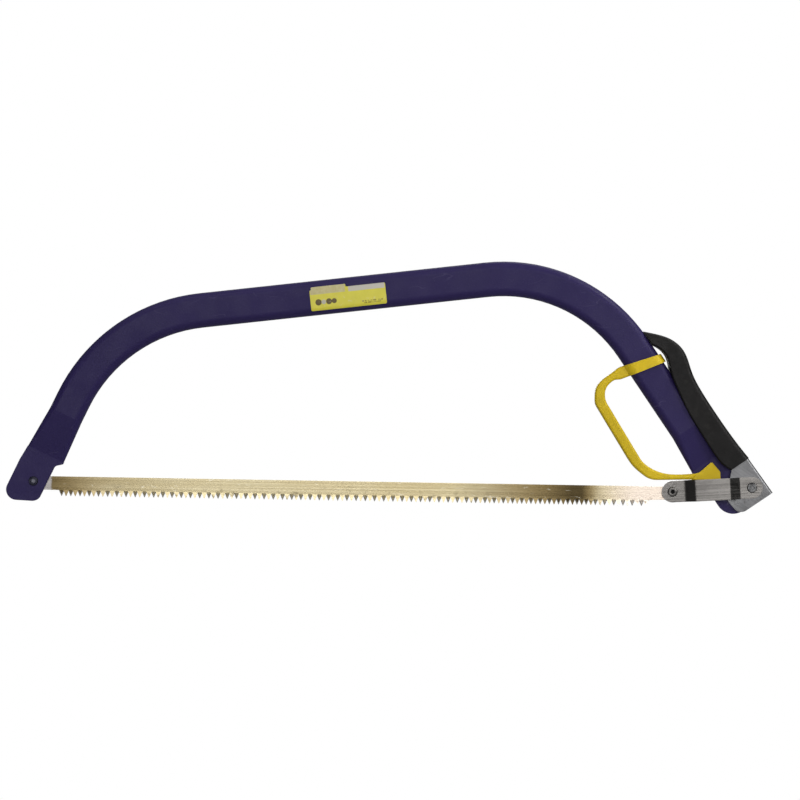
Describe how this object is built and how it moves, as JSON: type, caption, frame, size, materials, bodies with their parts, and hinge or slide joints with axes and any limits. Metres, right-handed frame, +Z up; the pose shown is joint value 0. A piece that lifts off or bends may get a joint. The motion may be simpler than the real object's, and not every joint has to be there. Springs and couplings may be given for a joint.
{
  "type": "bow saw",
  "caption": "Bow saw with an oval tube frame, straight toothed blade, knuckle guard and a lever along the grip that pulls the blade tight.",
  "frame": {"origin": "middle of the hand grip, on the axis of the frame's rear leg", "axes": "+X along the blade from the toe to the grip end, +Z up from the blade to the top bar, +Y through the saw's thickness to its back side"},
  "size_m": [0.728, 0.023, 0.236],
  "materials": {
    "frame_paint": "semi-gloss powder coat, dark blue-violet",
    "pin_steel": "plated and darkened",
    "guard_plastic": "moulded nylon, yellow",
    "label_vinyl": null,
    "lever_steel": "zinc plated, grey",
    "grip_plastic": "textured black plastic",
    "link_steel": "zinc plated, lightly worn",
    "screw_steel": "blackened steel",
    "blade_steel": "brushed and oiled spring steel, straw tinted"
  },
  "bodies": {
    "frame": {"frame_tube": "frame_paint", "toe_pin": "pin_steel", "fulcrum_bush": "pin_steel", "knuckle_guard": "guard_plastic", "label_front": "label_vinyl"},
    "lever": {"lever_channel": "lever_steel", "lever_grip": "grip_plastic", "fulcrum_pin": "pin_steel", "link_rivet": "pin_steel"},
    "link": {"link_strap_front": "link_steel", "link_strap_back": "link_steel", "heel_screw": "screw_steel", "heel_nut": "screw_steel"},
    "blade": {"blade": "blade_steel"}
  },
  "joints": [
    {"name": "lever_hinge", "type": "hinge", "parent": "frame", "child": "lever", "pos_m": [0.05211, 0, -0.07497], "axis": [0, 1, 0], "range_deg": [0, 95]},
    {"name": "link_hinge", "type": "hinge", "parent": "lever", "child": "link", "pos_m": [0.06935, 0, -0.06579], "axis": [0, 1, 0], "range_deg": [-112, 0]},
    {"name": "blade_hinge", "type": "hinge", "parent": "frame", "child": "blade", "pos_m": [-0.6125, 0, -0.071], "axis": [0, 1, 0], "range_deg": [0, 4.8]}
  ],
  "couplings": [
    {"joint": "link_hinge", "follows": "lever_hinge", "ratio": -1.1722},
    {"joint": "blade_hinge", "follows": "lever_hinge", "ratio": 0.0497}
  ]
}
